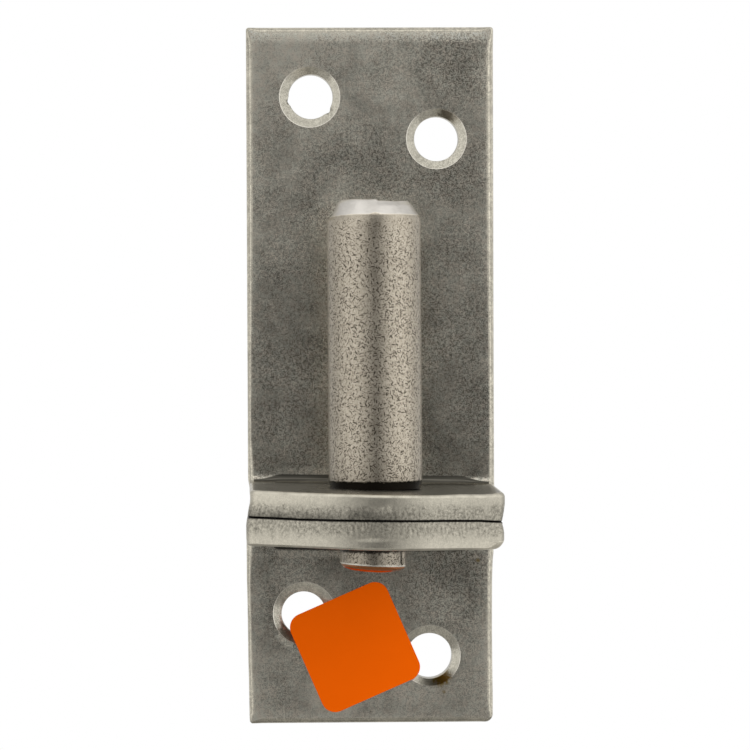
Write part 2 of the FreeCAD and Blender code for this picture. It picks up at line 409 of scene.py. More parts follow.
def plate_mesh(name, leg_end, facing, nose_roll, end_roll, place):
    """One bent plate as a closed mesh; place moves its points to where the plate sits."""
    rim, outward = sheet_rim(leg_end, leg_corners[name])
    roll = rolled_edge(rim, outward, leg_end, facing, nose_roll, end_roll)
    around = np.concatenate([[0], np.cumsum(np.linalg.norm(np.roll(rim, -1, 0) - rim, axis=1))])
    rim_count = len(rim)
    rows, faces, face_maps = [], [], []

    def add_points(points, level, on_edge=0.0, in_hole=0.0, turn=(0.0, 0.0)):
        """Adds a row of points at a depth, and returns the number of the first."""
        start = sum(len(row) for row in rows)
        row = np.broadcast_arrays(points[:, 0], points[:, 1], level, on_edge, in_hole, *turn)
        rows.append(np.stack(row, axis=1))
        return start

    def close_band(upper, lower, count, outwards, lengths, levels):
        """Faces between two rings of points, with their place along and across the band."""
        for i in range(count):
            following = (i + 1) % count
            face = (upper + i, lower + i, lower + following, upper + following)
            map_points = [(lengths[i], levels[0]), (lengths[i], levels[1]),
                          (lengths[i + 1], levels[1]), (lengths[i + 1], levels[0])]
            if not outwards:
                face, map_points = face[::-1], map_points[::-1]
            faces.append(face)
            face_maps.append(map_points)

    roll_turns = np.radians([0, 12, 25, 38, 52, 66, 80, 90])
    wall_shares = np.linspace(0, 1, 11)[1:]
    grain = np.array([[noise.noise(Vector((length * 2.6, share * 1.3, leg_end)))
                       + 0.7 * noise.noise(Vector((length * 6.5, share * 2.2, leg_end + 7)))
                       for length in around[:-1]] for share in wall_shares])
    rings = []
    for angle in roll_turns:
        level = roll * (1 - math.cos(angle))
        inset = roll * (1 - math.sin(angle))
        rings.append((inset, level, math.sin(angle)))
    wall_end = thickness - burr_break
    for share, rough in zip(wall_shares, grain):
        level = roll + (wall_end - roll) * share
        broken = blend(level / thickness, fracture_depth, fracture_depth + 0.14)
        inset = broken * fracture_relief * (1 + rough)
        rings.append((inset, level, 1.0))
    rings.append((rings[-1][0] + burr_break, np.full(rim_count, thickness), 1.0))
    starts = []
    for inset, level, edge_share in rings:
        starts.append(add_points(rim - outward * inset[:, None], level, edge_share))
    for j in range(len(rings) - 1):
        levels = (rings[j][1].mean(), rings[j + 1][1].mean())
        close_band(starts[j], starts[j + 1], rim_count, True, around, levels)

    front_holes, back_holes = [], []
    holes = [(offset, leg_end - drop, *sizes) for offset, drop, *sizes in screw_holes[name]]
    holes.append((0.0, -bend_start, tail_hole_radius, tail_hole_radius, 0.0, 0.0))
    for number, (hole_across, hole_along, bore, mouth, off_across, off_along) in enumerate(holes):
        centre = np.array([hole_across, hole_along])
        off_bore = np.array([off_across, off_along])
        sink_depth = (mouth - bore) / math.tan(countersink_slope)
        steps = [(mouth, 0.0)]
        if sink_depth:
            steps += [(mouth - (mouth - bore) * share, sink_depth * share) for share in (0.09, 0.4, 0.7, 0.97)]
        bore_depth = thickness - sink_depth
        steps += [(bore, sink_depth + bore_depth * share) for share in (0.03, 0.25, 0.5, 0.75, 0.97)]
        steps += [(bore + back_mouth_break, thickness)]
        hole_starts = []
        for radius, level in steps:
            chips = np.zeros(hole_points)
            if sink_depth and level > sink_depth * 0.9:
                turned = np.degrees(ring(centre, radius)[1])
                for chip_angle, chip_depth in hole_chips.get((name, number), []):
                    off_chip = np.abs(turned - chip_angle) / chip_half_width
                    chips = chips + chip_depth * np.clip(1 - off_chip, 0, 1)
            on_cone = max(0.0, 1 - level / sink_depth) if sink_depth else 0.0
            points, angles = ring(centre + off_bore * on_cone, radius + chips)
            turn = (facing * np.cos(angles), facing * np.sin(angles))
            hole_starts.append(add_points(points, level, 0.0, 1.0 if level > 0 else 0.0, turn))
        arc_lengths = np.arange(hole_points + 1) * 2 * math.pi * bore / hole_points
        for j in range(len(steps) - 1):
            levels = (steps[j][1], steps[j + 1][1])
            close_band(hole_starts[j], hole_starts[j + 1], hole_points, False, arc_lengths, levels)
        front_holes.append((hole_starts[0], ring(centre + off_bore, mouth)[0], (centre + off_bore, mouth)))
        back_mouth = bore + back_mouth_break
        back_holes.append((hole_starts[-1], ring(centre, back_mouth)[0], (centre, back_mouth)))

    for level, rim_start, rim_inset, skin_holes, rows_in_bend in (
            (0.0, starts[0], rings[0][0], front_holes, 13),
            (thickness, starts[-1], rings[-1][0], back_holes, 17)):
        loops = [rim - outward * rim_inset[:, None]] + [loop for _, loop, _ in skin_holes]
        openings = [opening for _, _, opening in skin_holes]
        points, triangles = fill(loops, openings, skin_spacing, rows_in_bend)
        loop_count = sum(len(loop) for loop in loops)
        inner_start = add_points(points[loop_count:], level)
        numbers = list(range(rim_start, rim_start + rim_count))
        for hole_start, loop, _ in skin_holes:
            numbers += list(range(hole_start, hole_start + len(loop)))
        numbers += list(range(inner_start, inner_start + len(points) - loop_count))
        for triangle in triangles:
            face = [numbers[corner] for corner in triangle]
            map_points = [tuple(points[corner]) for corner in triangle]
            if level > 0:
                face, map_points = face[::-1], map_points[::-1]
            faces.append(face)
            face_maps.append(map_points)

    across, along, depth, rolled, sunk, turned_right, turned_up = np.concatenate(rows).T
    curved_ends = 4.0 * blend(np.abs(across), 12.8, 17.3) * blend(along, bend_run * 0.1, bend_run)
    if facing < 0:
        curved_ends = curved_ends - 1.0 * blend(along, bend_run * 0.7, bend_run)     # its bend's dark colour runs 1 mm further down the leg: painted shadow under the lower flange
    values = {"depth": depth / thickness, "rolled": rolled, "sunk": sunk, "along_sheet": along + curved_ends,
              "hole_right": turned_right, "hole_up": turned_up}
    corners = place(bend_sheet(across, along, depth))
    return make_mesh(name, corners, faces, values, "sheet_mm", face_maps, 26)


def settle(points, up, name):
    """The slight slope and unevenness of the flanges and sides, on a plate that is in its place."""
    above = (points[:, 2] - mating_level) * up
    fade = 1 - blend(above, bend_outer_radius, bend_outer_radius + flange_skew_fade)
    in_front = 1 - blend(points[:, 1], bend_start - 3, bend_start)
    near_line = np.clip(1 - above / thickness, 0, 1) * in_front
    near_face = np.clip(above / thickness, 0, 1) * in_front
    points[:, 2] += near_line * np.interp(points[:, 0], *np.array(mating_line).T)
    points[:, 2] += near_face * np.interp(points[:, 0], *np.array(face_lines[name]).T)
    points[:, 2] -= flange_skew * points[:, 0] * fade
    rising = up * 0.05 * np.maximum(points[:, 1] + 13, 0.0)
    for side, (front_steps, rear_steps) in zip((-1, 1), side_insets[name]):
        along_side = above + rising * (side < 0)      # on the left the unevenness rises towards the bend
        inset = in_front * np.interp(along_side, *np.array(front_steps).T)
        inset += (1 - in_front) * np.interp(above, *np.array(rear_steps).T)
        points[:, 0] -= side * inset * blend(side * points[:, 0], 13.5, 17.0)
    return points


def place_upper(points):
    return settle(points + np.array([0.0, 0.0, mating_level]), 1, "upper_plate_steel")


def place_lower(points):
    points = points * np.array([-1.0, 1.0, -1.0]) + np.array([0.0, 0.0, mating_level])
    points = settle(points, -1, "lower_plate_steel")
    points[:, 0] += lower_plate_shift
    return points


upper_leg_end = upper_high.z - mating_level - bend_outer_radius + bend_run
lower_leg_end = mating_level - lower_low.z - bend_outer_radius + bend_run
plate_sets = [
    ("upper_plate_steel", "upper_plate", upper_leg_end, 1, 0.5, 0.65, place_upper),
    ("lower_plate_steel", "lower_plate", lower_leg_end, -1, 0.35, 1.25, place_lower),
]


def new_group(name, inputs, output):
    """An empty shader group with float or vector inputs and one value output, and its inputs."""
    group = bpy.data.node_groups.new(name, "ShaderNodeTree")
    for title, default in inputs.items():
        kind = "NodeSocketVector" if default is None else "NodeSocketFloat"
        socket = group.interface.new_socket(title, in_out="INPUT", socket_type=kind)
        if default is not None:
            socket.default_value = default
    group.interface.new_socket(output, in_out="OUTPUT", socket_type="NodeSocketFloat")
    return group, add(group, "NodeGroupInput").outputs


def use_group(tree, group, inputs):
    """The output of one use of a shader group with its own values."""
    return add(tree, "ShaderNodeGroup", inputs, node_tree=group).outputs[0]


def noise_at(tree, place, size, detail=2.0, roughness=0.5):
    """Cloud noise about 0.5 with features of the given size in millimetres."""
    scale = calculate(tree, "DIVIDE", 1.0, size)
    return add(tree, "ShaderNodeTexNoise", {"Vector": place, "Scale": scale, "Detail": detail,
                                            "Roughness": roughness}).outputs["Fac"]


def swing(tree, value, amount, base, middle=0.5):
    """A base moved up and down by how far a value lies from its middle."""
    return times_plus(tree, calculate(tree, "SUBTRACT", value, middle), amount, base)


def clamped(tree, value):
    """A value kept between 0 and 1."""
    return calculate(tree, "ADD", value, 0.0, clamp=True)


def remainder(tree, share):
    """What a share leaves of 1."""
    return calculate(tree, "SUBTRACT", 1.0, share)


# Tumbled grain: fine dark and light specks, on which every steel face here is built up.
tumbled_grain, grain_in = new_group("tumbled_grain", {"Place": None, "Speck": 0.2, "Contrast": 0.5}, "Tone")
fine = noise_at(tumbled_grain, grain_in["Place"], grain_in["Speck"], 1.5, 0.6)
coarse = noise_at(tumbled_grain, grain_in["Place"], times(tumbled_grain, grain_in["Speck"], 2.6))
summed = times_plus(tumbled_grain, coarse, 0.6, fine)
tone = swing(tumbled_grain, summed, times(tumbled_grain, grain_in["Contrast"], 4.0), 0.5, middle=0.8)
add(tumbled_grain, "NodeGroupOutput", {"Tone": clamped(tumbled_grain, tone)})

# Clouding: broad patches of lighter and darker steel left by the mill and by handling.
clouding, cloud_in = new_group("clouding", {"Place": None, "Patch": 8.0, "Contrast": 0.5}, "Tone")
broad = noise_at(clouding, cloud_in["Place"], cloud_in["Patch"], 4.0, 0.62)
tone = swing(clouding, broad, times(clouding, cloud_in["Contrast"], 4.0), 0.5)
add(clouding, "NodeGroupOutput", {"Tone": clamped(clouding, tone)})


def stretched(tree, place, scale):
    """A place with its axes scaled, so that a pattern on it is drawn out or squeezed."""
    return add(tree, "ShaderNodeMapping", {"Vector": place, "Scale": scale}).outputs[0]


def new_material(name):
    """An empty material, its tree and the place on the surface in millimetres."""
    material = bpy.data.materials.new(name)
    material.use_nodes = True
    material.node_tree.nodes.clear()
    tree = material.node_tree
    place = add(tree, "ShaderNodeTexCoord").outputs["Object"]
    return material, tree, stretched(tree, place, (1 / MM, 1 / MM, 1 / MM))


def surface_value(tree, name):
    """A value that the mesh carries at its points."""
    return add(tree, "ShaderNodeAttribute", attribute_name=name).outputs["Fac"]


def between(tree, value, start, end):
    """From 0 at start to 1 at end, smoothly, as a node."""
    return add(tree, "ShaderNodeMapRange", {"Value": value, "From Min": start, "From Max": end},
               interpolation_type="SMOOTHSTEP").outputs["Result"]


def stain(tree, place, centre, radius):
    """1 inside a small soft spot with a ragged rim, 0 outside it."""
    away = vector_step(tree, "DISTANCE", place, centre)
    ragged = times_plus(tree, noise_at(tree, place, 0.5, 3.0), radius * 1.6, away)
    return between(tree, ragged, radius * 2.1, radius * 1.3)


def scaled_colour(tree, amount, colour):
    """A colour, or another vector, multiplied by a value."""
    return add(tree, "ShaderNodeVectorMath", {0: colour, "Scale": amount}, operation="SCALE").outputs[0]


def varied(tree, value, low, high, reach=0.2):
    """A factor between two bounds, from cloud noise that reaches so far on both sides of a half."""
    return add(tree, "ShaderNodeMapRange", {"Value": value, "From Min": 0.5 - reach, "From Max": 0.5 + reach,
                                            "To Min": low, "To Max": high}).outputs["Result"]


def show_steel(tree, colour, roughness, relief):
    """Makes a material's tree bare metal with this colour, gloss and relief."""
    bump = add(tree, "ShaderNodeBump", {"Height": relief, "Strength": 0.5, "Distance": grain_relief * MM})
    steel = add(tree, "ShaderNodeBsdfPrincipled", {"Base Color": colour, "Metallic": 1.0,
                                                   "Roughness": roughness, "Normal": bump.outputs[0]})
    add(tree, "ShaderNodeOutputMaterial", {"Surface": steel.outputs[0]})


grain_relief = 0.008
steel_dark = (0.19, 0.18, 0.154, 1.0)
steel_light = (0.75, 0.72, 0.63, 1.0)
highlight_steel = (0.80, 0.77, 0.70, 1.0)
steel_tint = (1.0, 0.95, 0.81)
hue_warm = (1.02, 0.99, 0.98, 1.0)
hue_cool = (0.985, 1.005, 1.01, 1.0)
sink_dark = (0.36, 0.345, 0.297, 1.0)
sink_light = (0.56, 0.54, 0.47, 1.0)
burnt_brown = (0.13, 0.11, 0.08, 1.0)
gap_shadow_black = (0.012, 0.011, 0.010, 1.0)
rust_olive = (0.30, 0.19, 0.012, 1.0)

# How light the legs are from the lower leg's end to the upper one's, darker towards the flanges as
# painted shade; then soft spots that differ from around: (across, height), radius, change of tone and
# change of speckle.
tone_foot = -36.0
tone_run = 102.0
height_shade_steps = [(0.0, 0.82), (0.078, 0.71), (0.235, 0.42), (0.385, 0.31), (0.55, 0.34), (0.69, 0.48), (0.9, 0.62),
              (0.97, 0.76), (1.0, 1.0)]
soft_spots = [((-11.5, 57.0), 14.0, 0.18, -0.08), ((13.0, 60.0), 9.0, -0.31, 0.75),
              ((2.0, 62.0), 12.0, -0.02, 0.0), ((11.5, 43.5), 6.5, -0.12, 0.6),
              ((1.5, 44.5), 7.0, -0.10, 0.4), ((-12.0, 34.0), 8.0, 0.10, 0.0),
              ((-8.0, 38.0), 5.0, -0.08, 0.2), ((11.0, 22.0), 9.0, -0.07, 0.0),
              ((-10.0, -21.5), 3.5, -0.18, 0.3), ((12.0, -14.0), 8.0, -0.06, 0.9),
              ((-11.0, -12.5), 4.0, 0.18, 0.2), ((0.0, -31.0), 14.0, 0.03, -0.2),
              ((-12.5, 7.5), 6.0, 0.10, 0.2)]
bend_steps = [(0.0, 0.20), (0.08, 0.40), (0.18, 0.40), (0.36, 0.17), (0.5, 0.085), (0.58, 0.06), (0.68, 0.125),
              (0.78, 0.065), (0.88, 0.075), (1.0, 0.11)]
leg_roll_steps = [(0.0, 0.40), (0.12, 0.58), (0.28, 0.44), (0.42, 0.58), (0.6, 0.33), (0.75, 0.50), (0.9, 0.68),
                  (1.0, 0.68)]
flange_roll_level = 0.54
wall_steps = [(0.0, 0.53), (0.25, 0.51), (0.5, 0.46), (0.78, 0.43), (1.0, 0.42)]
# Lighter and darker spots on the flanges' walls: (across, height), reach across and up, change.
wall_spots = [((0.9, -1.75), (1.3, 0.75), 0.10), ((-2.4, -2.4), (1.7, 0.9), -0.10),
              ((-0.65, -6.1), (2.5, 0.33), 0.36)]
burnt_spot = ((11.0, 15.3, 52.4), 1.3)                # on a countersink's cone
blackened_spot = ((-11.7, 16.2, -21.5), 1.9)
rust_spots = [((9.8, 15.3, -27.8), 1.2, 0.92), ((10.2, 15.0, -29.7), 0.3, 0.5), ((15.1, 15.0, -11.0), 0.3, 0.5)]

plate_steel, tree, place = new_material("plate_steel")
parts = add(tree, "ShaderNodeSeparateXYZ", {0: place})
across, height = parts.outputs["X"], parts.outputs["Z"]
flat_place = vector_step(tree, "MULTIPLY", place, (1.0, 0.0, 1.0))
sheet = add(tree, "ShaderNodeUVMap", uv_map="sheet_mm").outputs["UV"]
along_sheet, depth, rolled, sunk = (surface_value(tree, name) for name in
                                    ("along_sheet", "depth", "rolled", "sunk"))

# The faces: tumbled steel, painted darker towards the flanges as shade, lighter at the ends, the sides
# and over the bend.
speckle = times_plus(tree, between(tree, noise_at(tree, place, 7.0), 0.36, 0.64), 0.5, 0.5)
cloud = use_group(tree, clouding, {"Place": place, "Patch": 6.0, "Contrast": 0.4})
mottle = noise_at(tree, place, 1.5, 3.0, 0.6)
up_share = calculate(tree, "DIVIDE", calculate(tree, "SUBTRACT", height, tone_foot), tone_run)
tone = swing(tree, cloud, 0.45, ramp(tree, up_share, height_shade_steps))
tone = swing(tree, mottle, 0.3, tone)
for (spot_across, spot_height), radius, tone_change, speckle_change in soft_spots:
    away = vector_step(tree, "DISTANCE", flat_place, (spot_across, 0.0, spot_height))
    share = between(tree, away, radius, radius * 0.2)
    tone = times_plus(tree, share, tone_change, tone)
    speckle = times_plus(tree, share, speckle_change, speckle)
grain = use_group(tree, tumbled_grain, {"Place": place, "Speck": 0.165, "Contrast": speckle})
tone = swing(tree, grain, 0.78, tone)
near_sides = between(tree, calculate(tree, "ABSOLUTE", across), 14.2, 16.8)
tone = times_plus(tree, near_sides, 0.17, tone)
near_top = times(tree, between(tree, height, 62.4, 64.3), between(tree, across, -12.0, 2.0))
tone = times_plus(tree, near_top, 0.36, tone)
tone = times_plus(tree, between(tree, height, 62.2, 63.4), 0.17, tone)
over_bend = times(tree, between(tree, along_sheet, bend_run - 0.15, bend_run + 0.15),
                  between(tree, along_sheet, bend_run + 1.3, bend_run + 0.6),
                  between(tree, across, 8.0, -4.0), between(tree, across, -15.0, -12.5))
tone = times_plus(tree, over_bend, 0.30, tone)
skin_colour = mix_colour(tree, clamped(tree, tone), steel_dark, steel_light)
hue = between(tree, noise_at(tree, place, 0.9, 4.0, 0.6), 0.35, 0.65)
skin_colour = vector_step(tree, "MULTIPLY", skin_colour, mix_colour(tree, hue, hue_warm, hue_cool))
near_end = times(tree, between(tree, height, 62.3, 63.1), times_plus(tree, grain, 0.55, -0.05))
skin_colour = scaled_colour(tree, calculate(tree, "ADD", near_end, 1.0), skin_colour)

# The bend: pressed smooth, dark and lined along, with the smooth top of the flange before it.
# On the lower plate the dark colour runs on 1 mm down the leg, as painted shadow under the flange.
drawn = varied(tree, noise_at(tree, stretched(tree, place, (0.04, 1.0, 1.0)), 0.3), 0.7, 1.3)
bend_level = ramp(tree, calculate(tree, "DIVIDE", along_sheet, bend_run), bend_steps)
bend_colour = scaled_colour(tree, times(tree, bend_level, drawn), steel_tint)
top_colour = scaled_colour(tree, varied(tree, noise_at(tree, place, 3.0), 0.145, 0.185), steel_tint)
pressed_and_shadowed = times(tree, between(tree, depth, 0.6, 0.4), between(tree, rolled, 0.75, 0.1),
                between(tree, along_sheet, bend_run + 0.1, bend_run - 0.25))
pressed_and_shadow_colour = mix_colour(tree, between(tree, along_sheet, -0.3, 0.4), top_colour, bend_colour)
colour = mix_colour(tree, pressed_and_shadowed, skin_colour, pressed_and_shadow_colour)

# The rolled edges: bright, with thin lines along them.
lines = varied(tree, noise_at(tree, stretched(tree, sheet, (3.2, 0.25, 1.0)), 1.0, 3.0), 0.97, 1.03)
on_flange = between(tree, along_sheet, 1.0, -1.0)
edge_level = mix_value(tree, on_flange, ramp(tree, rolled, leg_roll_steps), flange_roll_level)
leg_grain = times(tree, remainder(tree, on_flange), 0.5)
lower_right = times(tree, between(tree, across, 12.5, 15.0), between(tree, height, -5.0, -6.0), on_flange)
edge_level = times(tree, edge_level, lines, varied(tree, mottle, 0.82, 1.18), swing(tree, grain, leg_grain, 1.0),
                   times_plus(tree, lower_right, 0.5, 1.0))
edge_colour = scaled_colour(tree, edge_level, steel_tint)
colour = mix_colour(tree, between(tree, rolled, 0.01, 0.12), colour, edge_colour)

# The walls: cut clean, darker on the upper flange's left towards the gap, and torn where the blade broke
# through.
tilted_height = times_plus(tree, across, flange_skew, height)
upper_wall = between(tree, tilted_height, mating_level - 0.1, mating_level + 0.2)
# Painted shade: the walls are made darker towards the right, the upper flange's most.
right_side_shade = times(tree, across, times_plus(tree, upper_wall, -0.006, -0.003))
darker_to_gap_left = times(tree, between(tree, depth, 0.46, 1.02), between(tree, across, 7.0, -2.0), upper_wall,
               varied(tree, noise_at(tree, place, 1.8, 3.0, 0.6), 0.3, 0.72))
wall_level = times(tree, ramp(tree, depth, wall_steps), lines, calculate(tree, "ADD", right_side_shade, 0.99),
                   times_plus(tree, grain, 0.22, 0.89), remainder(tree, darker_to_gap_left))
for (spot_across, spot_height), (reach_across, reach_up), change in wall_spots:
    offset = vector_step(tree, "SUBTRACT", flat_place, (spot_across, 0.0, spot_height))
    offset = vector_step(tree, "MULTIPLY", offset, (1 / reach_across, 0.0, 1 / reach_up))
    away = vector_step(tree, "LENGTH", offset)
    wall_level = times_plus(tree, between(tree, away, 1.3, 0.3), change, wall_level)
torn_place = stretched(tree, sheet, (1.0, 0.8, 1.0))
torn = noise_at(tree, torn_place, 0.34, 4.0, 0.7)
on_wall = between(tree, rolled, 0.985, 1.0)
ragged_depth = calculate(tree, "ADD", noise_at(tree, torn_place, 1.6, 3.0), depth)
in_torn = times(tree, on_wall, between(tree, ragged_depth, 0.84, 1.12))
torn_level = times_plus(tree, varied(tree, torn, -0.5, 0.27, 0.14), in_torn, 1.0)
wall_colour = scaled_colour(tree, times(tree, wall_level, torn_level), steel_tint)
colour = mix_colour(tree, on_wall, colour, wall_colour)
# Painted shadow: a black line along the gap between the two flanges.
gap_shadow = times(tree, on_wall, between(tree, depth, 0.935, 0.98), between(tree, along_sheet, 2.5, 1.0))
colour = mix_colour(tree, gap_shadow, colour, gap_shadow_black)

# The screw holes: bare cones with painted highlights on their rims, lighter at the top and right, burnt in two
# places.
lifted = times_plus(tree, between(tree, surface_value(tree, "hole_up"), 0.35, 1.0), 0.42, 1.0)
lifted = times_plus(tree, surface_value(tree, "hole_right"), 0.12, lifted)
sink_level = times(tree, sunk, varied(tree, noise_at(tree, place, 1.3), 0.9, 1.06), lifted)
sink_colour = scaled_colour(tree, sink_level, mix_colour(tree, grain, sink_dark, sink_light))
blackened = stain(tree, place, *blackened_spot)
burnt = calculate(tree, "MAXIMUM", stain(tree, place, *burnt_spot), blackened)
sink_colour = mix_colour(tree, times(tree, burnt, 0.75), sink_colour, burnt_brown)
colour = mix_colour(tree, between(tree, sunk, 0.0, 0.3), colour, sink_colour)
# Painted highlight: a bright ring just inside each hole's mouth.
sink_rim_highlight = times(tree, between(tree, sunk, 0.02, 0.2), between(tree, sunk, 0.98, 0.7), 0.75)
colour = mix_colour(tree, sink_rim_highlight, colour, highlight_steel)
for spot, size, strength in rust_spots:
    colour = mix_colour(tree, times(tree, stain(tree, place, spot, size), strength), colour, rust_olive)

roughness = times_plus(tree, cloud, 0.10, 0.24)
roughness = times_plus(tree, in_torn, 0.12, roughness)
roughness = times_plus(tree, blackened, 0.4, roughness)
relief = times_plus(tree, times(tree, torn, in_torn), 2.0, grain)
show_steel(tree, colour, roughness, times(tree, relief, remainder(tree, pressed_and_shadowed)))

for piece_name, node_name, leg_end, right_side, nose_roll, end_roll, place_plate in plate_sets:
    mesh = plate_mesh(piece_name, leg_end, right_side, nose_roll, end_roll, place_plate)
    mesh.materials.append(plate_steel)
    plate = new_object(piece_name, mesh)
    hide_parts(node_name)
    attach(plate, "root")


# Pin. Turned from 13 mm bar, with a ground chamfer on its cropped end, a black bevelled foot
# on the upper flange, and a thinner tail through both flanges that ends in a low dome.
pin_low, pin_high = (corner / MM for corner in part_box("hinge_pin"))
pin_radius = pin_high.x
pin_top = pin_high.z
tail_radius = 4.55
tail_rim = 2 * mating_level - 3.2
tail_bottom = pin_low.z
foot_height = 1.1
foot_inset = 0.28
chamfer_height = 2.9
# The chamfer was ground by hand, so its profile differs from side to side: (depth, radius).
chamfer_left = [(0.0, 4.35), (0.12, 4.72), (0.45, 5.02), (1.3, 5.36), (2.0, 5.68), (2.45, 6.02), (2.9, 6.46)]
chamfer_front = [(0.0, 4.6), (0.10, 4.82), (1.0, 5.62), (1.95, 6.37), (2.15, 6.47), (2.9, 6.5)]
chamfer_right = [(0.0, 4.7), (0.08, 4.86), (1.0, 5.46), (2.0, 6.14), (2.3, 6.33), (2.7, 6.47), (2.9, 6.5)]
ground_depth = 2.1                                    # how far down the grinding shows, at the front
foot_shift = 0.15                                     # the pin leans a little to the left going up
foot_lean = 0.11
tail_shift = -0.25                                    # the tail was turned a little off the pin's axis
tail_rim_slope = 0.052
dome_radius = tail_radius - 0.12
dome_level = tail_rim - 0.04
dome_flatness = 0.82                                  # 1 would be half an ellipse; less has fuller corners
crop_step = 0.24                                      # the right half of the end broke off lower
groove_angle = math.radians(61)                       # a groove up the tail's side, and the lip beside it
groove_depth = 0.42
lip_height = 0.12
pole_radius = 0.25
pin_segments = 288


def arc_rows(start, end, bulge, count):
    """Radius and height along a flat arc, without its last point."""
    start, end = np.array(start), np.array(end)
    share = np.arange(count)[:, None] / count
    middle = np.array([end[1] - start[1], start[0] - end[0]])
    return start + share * (end - start) + middle * bulge * 4 * share * (1 - share)


# Corners of the half section from the dome's rim to the top: radius, height, and then the bulge
# and the number of rows on the way to the next.
section = [(dome_radius, dome_level, 0.2, 4), (tail_radius, tail_rim + 0.1, 0.0, 30),
           (tail_radius, 0.0, 0.0, 2), (pin_radius - foot_inset, 0.0, 0.0, 5),
           (pin_radius - 0.06, foot_height - 0.06, 0.15, 3), (pin_radius, foot_height + 0.08, 0.0, 60),
           (pin_radius, pin_top - chamfer_height, 0.0, 26), (pin_radius - 1.6, pin_top - 0.12, 0.0, 4),
           (pin_radius - 1.9, pin_top, 0.0, 12), (pole_radius, pin_top, 0.0, 1)]
chamfer_corner = 6                                    # where in the section the chamfer starts
dome_turns = np.radians(np.linspace(0, 90, 17))[:-1, None]
profile = [np.hstack([dome_radius * np.sin(dome_turns) ** dome_flatness,
                      dome_level - (dome_level - tail_bottom) * np.cos(dome_turns) ** dome_flatness])]
for (radius, level, bulge, count), (next_radius, next_level, _, _) in zip(section, section[1:]):
    profile.append(arc_rows((radius, level), (next_radius, next_level), bulge, count))
profile.append(np.array([(pole_radius, pin_top)]))
body_rows = sum(len(part) for part in profile[:chamfer_corner + 1]) - 1
profile = np.concatenate(profile)[1:]
row_count = len(profile)
angles = np.arange(pin_segments) * 2 * math.pi / pin_segments
radius = np.repeat(profile[:, :1], pin_segments, axis=1)
level = np.repeat(profile[:, 1:], pin_segments, axis=1)
side = np.sin(angles)
depth_down = pin_top - level
on_chamfer = (np.arange(row_count) >= body_rows)[:, None] & (radius > pin_radius - 2.0)
leftward = np.clip(-side, 0, 1) ** 1.5
rightward = np.clip(side, 0, 1) ** 1.5
frontward = 1 - leftward - rightward
shaped = sum(weight * np.interp(depth_down, *np.array(steps).T) for weight, steps in
             ((leftward, chamfer_left), (rightward, chamfer_right), (frontward, chamfer_front)))
radius = np.where(on_chamfer, shaped, radius)
near_top = blend(level, pin_top - chamfer_height, pin_top)
in_groove = np.exp(-((angles - groove_angle) / math.radians(3.2)) ** 2)
groove_run = blend(level, tail_rim + 0.25, tail_rim + 0.7) * (level < mating_level)
lip = np.exp(-((angles - groove_angle - math.radians(10)) / math.radians(5)) ** 2)
lip_run = (level < tail_rim + 2.6) * (level > tail_rim - 0.2)
radius = radius - groove_depth * in_groove * groove_run + lip_height * lip * lip_run
x = radius * np.sin(angles)
y = -radius * np.cos(angles)
x = x + np.where(level > -0.01, foot_shift - foot_lean * level / pin_top, 0.0)
x = x + tail_shift * blend(-level, -mating_level - 0.1, -mating_level + 0.1)
level = level - tail_rim_slope * x * blend(-level, 8.4, 10.0)
cropped = blend(x, 0.1, 0.7) * blend(level, pin_top - 1.0, pin_top)
level = level - crop_step * cropped + 0.03 * near_top * np.sin(x * 1.7)
points = np.stack([x, y, level], axis=-1).reshape(-1, 3)
bottom_pole = len(points)
top_pole = bottom_pole + 1
points = np.concatenate([points, [[tail_shift, 0, tail_bottom], [0.04, 0, pin_top - 0.06]]])

lengths = np.concatenate([[0.1], np.cumsum(np.linalg.norm(np.diff(profile, axis=0), axis=1)) + 0.1])
around = np.arange(pin_segments + 1) * 2 * math.pi * pin_radius / pin_segments
around = around - math.pi * pin_radius
faces, face_maps = [], []
half_turn = pin_segments // 2
for i in range(pin_segments):
    this = (i + half_turn) % pin_segments
    following = (this + 1) % pin_segments
    left, right = around[i], around[i + 1]
    for j in range(row_count - 1):
        row, next_row = j * pin_segments, (j + 1) * pin_segments
        low, high = lengths[j], lengths[j + 1]
        faces.append((row + this, row + following, next_row + following, next_row + this))
        face_maps.append([(left, low), (right, low), (right, high), (left, high)])
    faces.append((following, this, bottom_pole))
    face_maps.append([(right, lengths[0]), (left, lengths[0]), (left, 0.0)])
    last = (row_count - 1) * pin_segments
    faces.append((last + this, last + following, top_pole))
    face_maps.append([(left, lengths[-1]), (right, lengths[-1]), (left, lengths[-1] + 0.2)])
soot_and_shadow = (in_groove[None, :] * groove_run).reshape(-1)
edge_depth = ground_depth + np.where(side < 0, 0.35, 0.1) * side ** 4 - 0.22 * np.exp(-(side / 0.1) ** 2)
ground = (blend(-depth_down, -edge_depth - 0.06, -edge_depth + 0.02) * (level > pin_top / 2)).reshape(-1)
values = {"soot_and_shadow": np.append(soot_and_shadow, [0.0, 0.0]), "ground": np.append(ground, [0.0, 1.0])}
mesh = make_mesh("hinge_pin_steel", points, faces, values, "surface_mm", face_maps, 34)

